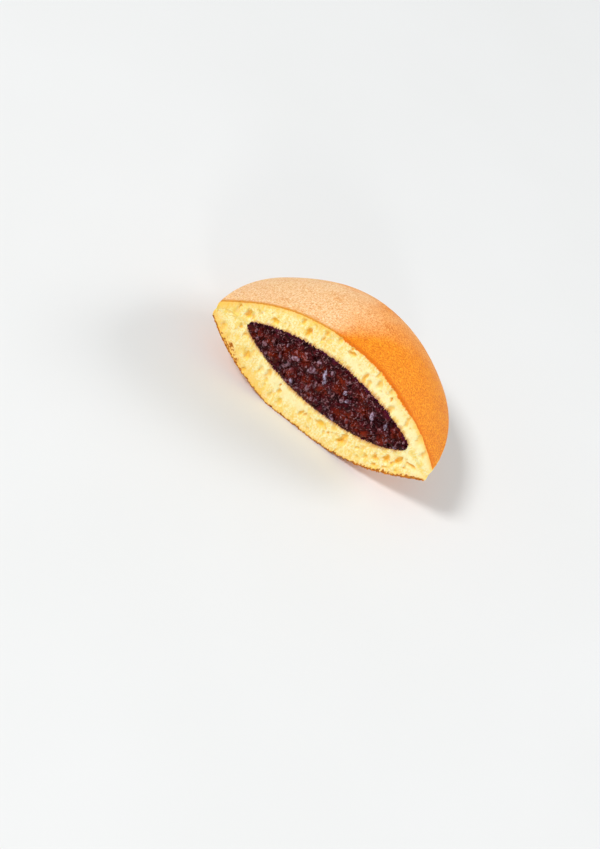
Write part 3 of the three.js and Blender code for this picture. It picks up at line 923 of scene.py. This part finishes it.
def make_paste():
    """The paste from rings of points: back above, forward below, and over the cut."""
    grow_plan = 1 + PASTE_GROWTH / PASTE_HALF
    grow_height = 1 + PASTE_GROWTH / PASTE_RISE
    x = PASTE_RUN[:, None]
    chord = paste_chord(x)
    lens_y = paste_depth_at(x)
    front = np.minimum(SMEAR_DEPTH, lens_y * DEPTH_LIMIT)
    back_y = front + (lens_y - front) * np.sin(straight_run(LENS_STEPS) * math.pi / 2)
    wide_x = PASTE_X + (x - PASTE_X) * grow_plan + 0 * back_y
    wide_y = back_y * grow_plan
    swell = edge_swell(x, back_y)
    upper = chord + PASTE_RISE * lens_share(x, back_y, RISE_POWERS) * grow_height + swell
    lower = chord - PASTE_DROP * lens_share(x, back_y, DROP_POWERS) * grow_height - swell
    upper_row = np.stack([wide_x, wide_y, upper], axis=-1)
    lower_row = np.stack([wide_x, wide_y, lower], axis=-1)[:, ::-1]
    lower_row[:, 0] = upper_row[:, -1]

    up = straight_run(PASTE_CUT_STEPS)
    top = upper[:, :1]
    bottom = lower[:, :1]
    cut_z = bottom + (top - bottom) * up
    cut_x = wide_x[:, :1] + 0 * up
    swell, owner, share, clear = lumpy(cut_x, cut_z, LUMP_LIST)
    grain = fractal(cut_x / GRAIN_SIZE, cut_z / GRAIN_SIZE, GRAIN_SEED, 2) - 0.5
    swell = swell + GRAIN_HEIGHT * grain
    inner = smooth(np.minimum(cut_z - bottom, top - cut_z) / SMOOTH_BAND)
    cut_y = SMEAR_DEPTH * (1 - inner) - swell * inner
    cut_y[:, :1] = front * grow_plan
    cut_y[:, -1:] = front * grow_plan
    cut_row = np.stack([cut_x, np.minimum(cut_y, lens_y * DEPTH_LIMIT), cut_z], axis=-1)

    rows = [upper_row, lower_row, cut_row]
    points = join_rows(rows)
    smear = np.minimum((top - cut_z) / SMEAR_BANDS[0], (cut_z - bottom) / SMEAR_BANDS[1])
    smear = 1 - smooth(smear + SMEAR_STRAY * (grain + SMEAR_LEAN))
    hollow = smooth((HOLLOW_FROM - share) / HOLLOW_FADE)
    whole = smooth((share - SKIN_EDGE) / SKIN_EDGE_FADE)
    # A painted highlight on the peeled skins, over the whole skin or only near its rim.
    sheen = SKIN_SHEENS[owner] * np.where(SKIN_RIMS[owner], hollow, whole)
    red = 0
    for red_x, red_z in RED_BEANS:
        red = red + np.exp(-((cut_x - red_x) ** 2 + (cut_z - red_z) ** 2) / RED_SIZE**2)
    marks = {
        "tone": mark_rows(rows, 0, 0, LUMP_TONES[owner]),
        # Painted shade in the creases between the pieces.
        "crease_shade": mark_rows(rows, 0, 0, 1 - smooth(clear / CREASE_SHADE_WIDTH)),
        # A painted highlight along the rims of the pieces.
        "rim_highlight": mark_rows(rows, 0, 0, smooth(1 - np.abs(clear - RIM_HIGHLIGHT_MIDDLE) / RIM_HIGHLIGHT_WIDTH)),
        "sheen": mark_rows(rows, 0, 0, sheen),
        "red": mark_rows(rows, 0, 0, np.minimum(red, 1)),
        "smear": mark_rows(rows, 0, 0, smear),
    }
    faces = ring_faces(len(PASTE_RUN), points.shape[1])
    return build_piece("coarse_paste", points, faces, marks)


# Materials

# Sockets of a node that mixes two colours: its share, the colours and the result.
MIX_SHARE = 0
MIX_FIRST = 6
MIX_SECOND = 7
MIX_RESULT = 2


class Nodes:
    """Adds nodes to a material and joins them in one call each."""

    def __init__(self, name):
        self.material = bpy.data.materials.new(name)
        self.material.use_nodes = True
        self.tree = self.material.node_tree
        self.shader = self.tree.nodes["Principled BSDF"]
        self.place = self.add("ShaderNodeTexCoord").outputs["Object"]

    def add(self, kind, **settings):
        node = self.tree.nodes.new(kind)
        for key, value in settings.items():
            setattr(node, key, value)
        return node

    def fill(self, node, values):
        """Joins or sets a node's sockets, by name or number."""
        for key, value in values.items():
            if isinstance(value, bpy.types.NodeSocket):
                self.tree.links.new(value, node.inputs[key])
            else:
                node.inputs[key].default_value = value

    def mark(self, name):
        """One of the marks that the mesh carries."""
        return self.add("ShaderNodeAttribute", attribute_name=name).outputs["Fac"]

    def noise(self, per_mm, detail, roughness=0.5, stretch=None):
        """A noise in the object's own frame, by its features to the millimetre."""
        place = self.place
        if stretch:
            mapping = self.add("ShaderNodeMapping")
            self.fill(mapping, {"Vector": place, "Scale": stretch})
            place = mapping.outputs["Vector"]
        node = self.add("ShaderNodeTexNoise")
        self.fill(node, {"Vector": place, "Scale": per_mm / MM, "Detail": detail, "Roughness": roughness})
        return node.outputs["Fac"]

    def math(self, operation, first, second=0.0):
        node = self.add("ShaderNodeMath", operation=operation)
        self.fill(node, {0: first, 1: second})
        return node.outputs[0]

    def span(self, value, low, high, to_high=1.0, to_low=0.0):
        """Values from low to high become values from to_low to to_high, level at both ends and beyond."""
        node = self.add("ShaderNodeMapRange", interpolation_type="SMOOTHSTEP")
        self.fill(node, {"Value": value, "From Min": low, "From Max": high})
        self.fill(node, {"To Min": to_low, "To Max": to_high})
        return node.outputs["Result"]

    def blend(self, share, first, second, kind="MIX"):
        node = self.add("ShaderNodeMix", data_type="RGBA", blend_type=kind)
        self.fill(node, {MIX_SHARE: share, MIX_FIRST: first, MIX_SECOND: second})
        return node.outputs[MIX_RESULT]

    def bump(self, height, strength, distance_mm):
        node = self.add("ShaderNodeBump")
        self.fill(node, {"Height": height, "Strength": strength, "Distance": distance_mm * MM})
        return node.outputs["Normal"]


def srgb(red, green, blue):
    """A colour given as it looks on screen, 0 to 255, as the shader wants it."""
    def linear(value):
        share = value / 255
        return share / 12.92 if share <= 0.04045 else ((share + 0.055) / 1.055) ** 2.4

    return (linear(red), linear(green), linear(blue), 1.0)


PALE_CRUMB = srgb(254, 241, 186)
WARM_CRUMB = srgb(248, 208, 90)
RIND_CRUMB = srgb(252, 197, 80)
# Partly painted shade in the bubbles and pores.
PIT_SHADE_CRUMB = srgb(250, 190, 60)
PASTE_STAIN = srgb(196, 102, 40)
# The pale crust, fleck and line colours are partly a painted sheen, on the side of the upper skin that faces
# the key light.
PALE_SHEEN_CRUST = srgb(250, 200, 146)
GOLD_CRUST = srgb(245, 141, 14)
PALE_SHEEN_FLECK = srgb(255, 224, 180)
GOLD_FLECK = srgb(255, 177, 44)
DARK_FLECK = (0.82, 0.62, 0.38, 1.0)
DARK_PATCH = (0.92, 0.78, 0.6, 1.0)
PALE_SHEEN_LINE = srgb(226, 148, 34)
CRUST_LINE = srgb(234, 120, 0)
UNDER_LINE = srgb(196, 112, 8)
DARK_LINE = srgb(150, 80, 0)
SPOT_BROWN = srgb(196, 98, 40)

# Noises of the sponge: features to the millimetre, detail, roughness, and stretch along each axis.
FINE_NOISE = (1.4, 3)
CLOUD_NOISE = (0.35, 3, 0.5, (1, 1, 0.6))
STRAND_NOISE = (0.8, 3, 0.5, (1.4, 1, 0.4))
SPECKLE_NOISE = (1.6, 3, 0.7)
PATCH_NOISE = (0.12, 4, 0.6)
CRUMB_NOISE = (2.0, 4, 0.65)

# How its noises and marks turn into shares of a colour: between which values, then the share at the second
# where it isn't 1, and at the first where it isn't 0.
CLOUD_SPAN = (0.42, 0.7, 0.6)
STRAND_SPAN = (0.48, 0.66, 0.65)
FINE_SPAN = (0.44, 0.62, 0.65)
FRESH_SHARE = 0.7
RIND_SPAN = (0.1, 0.9, 0.8)
PIT_SHADE_SHARE = 0.8
DARK_PATCH_SPAN = (0.5, 0.75)
DARK_FLECK_SPAN = (0.48, 0.62)
PALE_FLECK_SPAN = (0.5, 0.36, 0.8)
SPOT_SPAN = (0.35, 0.7, 0.6)
LINE_SPAN = (0.1, 0.8, 0.95)
DARK_LINE_SPAN = (0.42, 0.6)
TOP_LINE_DARK = 0.2
UNDER_LINE_DARK = 0.9
BROWN_RAGGED = 0.5
BROWN_SPAN = (0.2, 0.8)

# Its finish, with the crust's and the crumb's roughness, and lengths in millimetres.
SPONGE_ROUGHNESS = (0.6, 0.85)
SPONGE_SPECULAR = 0.2
SCATTER_WEIGHT = 0.3
SCATTER_RADIUS = (1.0, 0.6, 0.25)
SCATTER_DEPTH = 1.5
SPONGE_BUMP = (0.6, 0.25)


def sponge_material(name, line_colour, line_dark):
    """Crumb and crust in one; the line where the crust is cut has a colour of its own."""
    n = Nodes(name)
    fine = n.noise(*FINE_NOISE)

    crumb = n.blend(n.span(n.noise(*CLOUD_NOISE), *CLOUD_SPAN), PALE_CRUMB, WARM_CRUMB)
    crumb = n.blend(n.span(n.noise(*STRAND_NOISE), *STRAND_SPAN), crumb, WARM_CRUMB)
    crumb = n.blend(n.span(fine, *FINE_SPAN), crumb, WARM_CRUMB)
    crumb = n.blend(n.math("MULTIPLY", n.mark("fresh"), FRESH_SHARE), crumb, PALE_CRUMB)
    crumb = n.blend(n.span(n.mark("rind"), *RIND_SPAN), crumb, RIND_CRUMB)
    # Deeper yellow in the bubbles and pores, the more the deeper they are: partly painted shade.
    crumb = n.blend(n.math("MULTIPLY", n.mark("pit_shade"), PIT_SHADE_SHARE), crumb, PIT_SHADE_CRUMB)
    crumb = n.blend(n.mark("stain"), crumb, PASTE_STAIN)

    speckle = n.noise(*SPECKLE_NOISE)
    # How golden the crust is; where it is pale, that is partly a painted sheen.
    gold_and_sheen = n.mark("gold_and_sheen")
    crust = n.blend(gold_and_sheen, PALE_SHEEN_CRUST, GOLD_CRUST)
    crust = n.blend(n.span(n.noise(*PATCH_NOISE), *DARK_PATCH_SPAN), crust, DARK_PATCH, "MULTIPLY")
    crust = n.blend(n.span(speckle, *DARK_FLECK_SPAN), crust, DARK_FLECK, "MULTIPLY")
    crust = n.blend(n.span(speckle, *PALE_FLECK_SPAN), crust, n.blend(gold_and_sheen, PALE_SHEEN_FLECK, GOLD_FLECK))
    spots = n.math("ADD", n.mark("spot"), n.math("SUBTRACT", speckle, 0.5))
    crust = n.blend(n.span(spots, *SPOT_SPAN), crust, SPOT_BROWN)
    line = n.blend(gold_and_sheen, PALE_SHEEN_LINE, line_colour)
    line = n.blend(n.span(fine, *DARK_LINE_SPAN, line_dark), line, DARK_LINE)
    crust = n.blend(n.span(n.mark("line"), *LINE_SPAN), crust, line)

    stray = n.math("MULTIPLY", n.math("SUBTRACT", fine, 0.5), BROWN_RAGGED)
    brown_share = n.span(n.math("ADD", n.mark("brown"), stray), *BROWN_SPAN)
    relief = n.blend(brown_share, n.noise(*CRUMB_NOISE), speckle)
    n.fill(n.shader, {
        "Base Color": n.blend(brown_share, crumb, crust),
        "Roughness": n.span(brown_share, 0.0, 1.0, *SPONGE_ROUGHNESS),
        "Specular IOR Level": SPONGE_SPECULAR,
        "Subsurface Weight": SCATTER_WEIGHT,
        "Subsurface Radius": SCATTER_RADIUS,
        "Subsurface Scale": SCATTER_DEPTH * MM,
        "Normal": n.bump(relief, *SPONGE_BUMP),
    })
    return n.material


PASTE_DARK = srgb(34, 1, 2)
PASTE_PLUM = srgb(82, 14, 22)
PASTE_SMEAR = srgb(72, 6, 46)
PASTE_RED = srgb(126, 36, 6)
# A painted highlight, on the rims of the pieces and in thin wisps.
PASTE_WISP_HIGHLIGHT = srgb(158, 112, 116)
# The skin and shine colours are painted highlights on the peeled skins.
PASTE_SKIN_HIGHLIGHT = srgb(166, 128, 140)
PASTE_SHINE = srgb(190, 180, 208)

# Noises and spans of the paste, in the same way.
SPECK_NOISE = (1.0, 3)
MOTTLE_NOISE = (0.5, 4, 0.6)
WISP_NOISE = (0.35, 3, 0.5, (1.3, 1, 0.9))
FOLD_NOISE = (0.9, 2, 0.5, (1.5, 1, 0.7))
GLOSS_NOISE = (0.9, 2)
LUMP_NOISE = (0.9, 3)
PLUM_SPAN = (0.42, 0.6)
RED_SPAN = (0.34, 0.5, 0.9, 0.2)
CREASE_SHADE_SHARE = 0.85
SPECK_SPAN = (0.52, 0.62, 0.6)
TONE_SPAN = (0.55, 0.8)
RIM_HIGHLIGHT_SPAN = (0.56, 0.44, 0.8)
WISP_SPAN = (0.03, 0.008)
WISP_BREAK_SPAN = (0.52, 0.44, 0.7)
SHINE_SPAN = (0.6, 1.0)
SKIN_SPAN = (0.0, 0.9)
SKIN_BREAK_SPAN = (0.62, 0.42, 0.95, 0.15)
FOLD_SPAN = (0.6, 0.46, 1.0, 0.2)
SMEAR_SPAN = (0.2, 0.9, 0.85)
GLOSS_SPAN = (0.35, 0.7, 0.22, 0.06)
PASTE_SPECULAR = 0.09
PASTE_TINT = (1.0, 0.8, 0.92, 1.0)
PASTE_BUMP = (0.8, 0.9)


def paste_material():
    """Dark, moist paste with redder beans, painted shade in creases and painted highlights on skins and
    rims.
    """
    n = Nodes("bean_paste")
    fine = n.noise(*SPECK_NOISE)
    mottle = n.noise(*MOTTLE_NOISE)
    colour = n.blend(n.span(mottle, *PLUM_SPAN), PASTE_DARK, PASTE_PLUM)
    colour = n.blend(n.math("MULTIPLY", n.mark("red"), n.span(mottle, *RED_SPAN)), colour, PASTE_RED)
    # Painted shade in the creases between the pieces.
    colour = n.blend(n.math("MULTIPLY", n.mark("crease_shade"), CREASE_SHADE_SHARE), colour, PASTE_DARK)
    colour = n.blend(n.span(fine, *SPECK_SPAN), colour, PASTE_DARK)

    # Painted highlights: broken pieces are lighter along their rims, and thin lighter wisps run between
    # them.
    rim_highlight_share = n.math("MULTIPLY", n.mark("rim_highlight"), n.span(n.mark("tone"), *TONE_SPAN))
    rim_highlight_share = n.math("MULTIPLY", rim_highlight_share, n.span(fine, *RIM_HIGHLIGHT_SPAN))
    colour = n.blend(rim_highlight_share, colour, PASTE_WISP_HIGHLIGHT)
    off_ridge = n.math("ABSOLUTE", n.math("SUBTRACT", n.noise(*WISP_NOISE), 0.5))
    wisp_highlight_share = n.math("MULTIPLY", n.span(off_ridge, *WISP_SPAN), n.span(fine, *WISP_BREAK_SPAN))
    colour = n.blend(wisp_highlight_share, colour, PASTE_WISP_HIGHLIGHT)

    # Painted highlights on the peeled skins, broken up by their folds, and the knife's smear lies over
    # everything.
    sheen = n.mark("sheen")
    skin = n.blend(n.span(sheen, *SHINE_SPAN), PASTE_SKIN_HIGHLIGHT, PASTE_SHINE)
    skin_highlight_share = n.math("MULTIPLY", n.span(sheen, *SKIN_SPAN), n.span(mottle, *SKIN_BREAK_SPAN))
    skin_highlight_share = n.math("MULTIPLY", skin_highlight_share, n.span(n.noise(*FOLD_NOISE), *FOLD_SPAN))
    colour = n.blend(skin_highlight_share, colour, skin)
    colour = n.blend(n.span(n.mark("smear"), *SMEAR_SPAN), colour, PASTE_SMEAR)

    n.fill(n.shader, {
        "Base Color": colour,
        "Roughness": n.span(n.noise(*GLOSS_NOISE), *GLOSS_SPAN),
        "Specular IOR Level": PASTE_SPECULAR,
        "Specular Tint": PASTE_TINT,
        "Normal": n.bump(n.noise(*LUMP_NOISE), *PASTE_BUMP),
    })
    return n.material


FLOOR_NOISE = (0.01, 3)
FLOOR_GREY = srgb(224, 224, 222)
FLOOR_PALE = srgb(229, 229, 228)
FLOOR_ROUGHNESS = 0.7


def floor_material():
    n = Nodes("pale_floor")
    colour = n.blend(n.noise(*FLOOR_NOISE), FLOOR_GREY, FLOOR_PALE)
    n.fill(n.shader, {"Base Color": colour, "Roughness": FLOOR_ROUGHNESS})
    return n.material


# The object

BUBBLE_LIST = make_bubbles() + STREAKS
PORE_LIST = make_pores()
LUMP_LIST = make_beans() + make_pieces() + make_skins()
tone_roll = dice(TONE_SEED)
LUMP_TONES = np.array([TONE_BETWEEN] + [tone_roll() for _ in LUMP_LIST])
SKIN_SHEENS = np.zeros(len(LUMP_TONES))
SKIN_SHEENS[-len(SKINS):] = [bright for *_, bright, _ in SKINS]
SKIN_RIMS = np.zeros(len(LUMP_TONES), bool)
SKIN_RIMS[-len(SKINS):] = [rim_only for *_, rim_only in SKINS]

top_piece = make_pancake(TOP, top_skin, top_lining)
bottom_piece = make_pancake(BOTTOM, bottom_skin, bottom_lining)
paste_piece = make_paste()

top_sponge = sponge_material("top_sponge", CRUST_LINE, TOP_LINE_DARK)
bottom_sponge = sponge_material("bottom_sponge", UNDER_LINE, UNDER_LINE_DARK)
bean_paste = paste_material()

for piece, node, slot, material in (
    (top_piece, "top_pancake", "top_sponge", top_sponge),
    (bottom_piece, "bottom_pancake", "bottom_sponge", bottom_sponge),
    (paste_piece, "bean_paste", "bean_paste", bean_paste),
):
    piece.data.materials.append(material)
    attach(piece, "root")
    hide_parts(node)


# Stage, lights and camera

def add_camera():
    # The way that the camera looks, then the picture's right and its down.
    sin_a, cos_a = math.sin(CAMERA_AZIMUTH), math.cos(CAMERA_AZIMUTH)
    sin_e, cos_e = math.sin(CAMERA_ELEVATION), math.cos(CAMERA_ELEVATION)
    ahead = Vector((-sin_a * cos_e, cos_a * cos_e, -sin_e))
    level = Vector((cos_a, sin_a, 0))
    below = ahead.cross(level)
    right = level * math.cos(CAMERA_ROLL) + below * math.sin(CAMERA_ROLL)
    down = below * math.cos(CAMERA_ROLL) - level * math.sin(CAMERA_ROLL)

    camera = put_in_scene("camera", bpy.data.cameras.new("camera"))
    away = right * CAMERA_OFFSET[0] + down * CAMERA_OFFSET[1] + ahead * CAMERA_DISTANCE
    place = (Vector(CUT_MIDDLE) - away) * MM
    turned = Matrix((right, -down, -ahead)).transposed().to_4x4()
    camera.matrix_world = Matrix.Translation(place) @ turned
    camera.data.sensor_width = SENSOR
    camera.data.lens = FOCAL_PIXELS / IMAGE_HEIGHT * SENSOR
    camera.data.clip_start = NEAREST
    SCENE.camera = camera


def add_light(name, toward, distance, size, power):
    """A soft square light that far from the object, in the given direction, facing it."""
    lamp = bpy.data.lights.new(name, "AREA")
    lamp.shape = "SQUARE"
    lamp.size = size
    lamp.energy = power
    holder = put_in_scene(name, lamp)
    direction = Vector(toward).normalized()
    holder.location = direction * distance + Vector((0, 0, LIGHT_AIM))
    holder.rotation_euler = direction.to_track_quat("Z", "Y").to_euler()


def add_floor():
    half = FLOOR_HALF
    corners = [(-half, -half, 0), (half, -half, 0), (half, half, 0), (-half, half, 0)]
    mesh = bpy.data.meshes.new("floor")
    mesh.from_pydata(corners, [], [(0, 1, 2, 3)])
    mesh.materials.append(floor_material())
    floor = put_in_scene("floor", mesh)


def set_world():
    world = bpy.data.worlds.new("studio")
    world.use_nodes = True
    background = world.node_tree.nodes["Background"]
    background.inputs["Color"].default_value = SKY_COLOUR
    background.inputs["Strength"].default_value = SKY_STRENGTH
    SCENE.world = world


add_camera()
add_floor()
set_world()
for light in LIGHTS:
    add_light(*light)
SCENE.view_settings.view_transform = "Standard"
SCENE.view_settings.look = "None"
